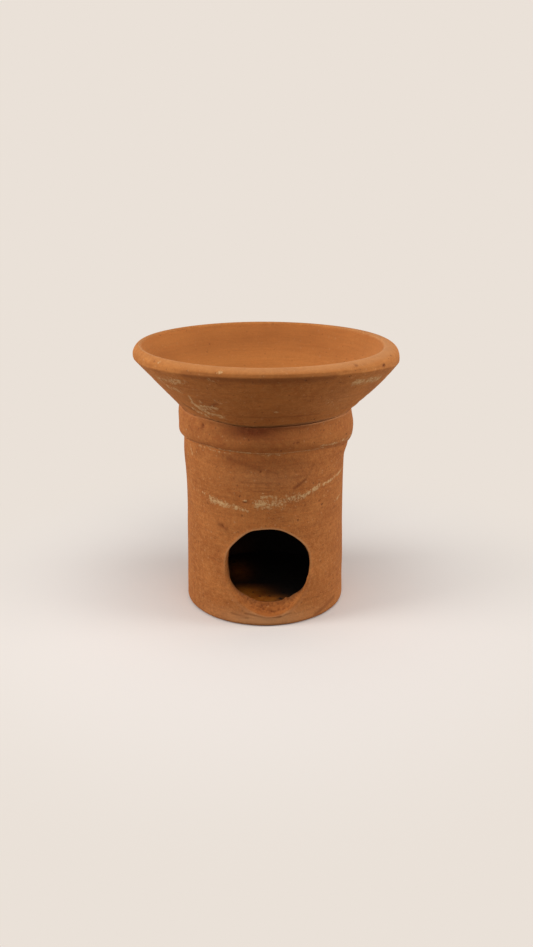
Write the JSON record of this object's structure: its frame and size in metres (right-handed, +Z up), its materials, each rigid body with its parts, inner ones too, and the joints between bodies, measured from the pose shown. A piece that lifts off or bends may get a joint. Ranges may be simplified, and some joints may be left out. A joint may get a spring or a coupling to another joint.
{
  "type": "terracotta dish burner",
  "caption": "Unglazed terracotta burner: a round stand with a window near its foot, a rolled collar, and a wide flared dish that drops into the collar and lifts off.",
  "frame": {"origin": "middle of the foot, on the surface the stand rests on", "axes": "+Z up along the axis of the wall, collar and dish; the window faces -Y"},
  "size_m": [0.1452, 0.1452, 0.1485],
  "materials": {
    "terracotta_wall": "matte",
    "terracotta_floor": "matte",
    "terracotta_collar": "matte",
    "terracotta_dish": "matte"
  },
  "bodies": {
    "stand": {"stand_wall": "terracotta_wall", "floor_disc": "terracotta_floor", "collar_band": "terracotta_collar"},
    "dish": {"dish": "terracotta_dish"}
  },
  "joints": [
    {"name": "dish_lift", "type": "slide", "parent": "stand", "child": "dish", "axis": [0, 0, 1], "range_m": [0, 0.06]}
  ]
}
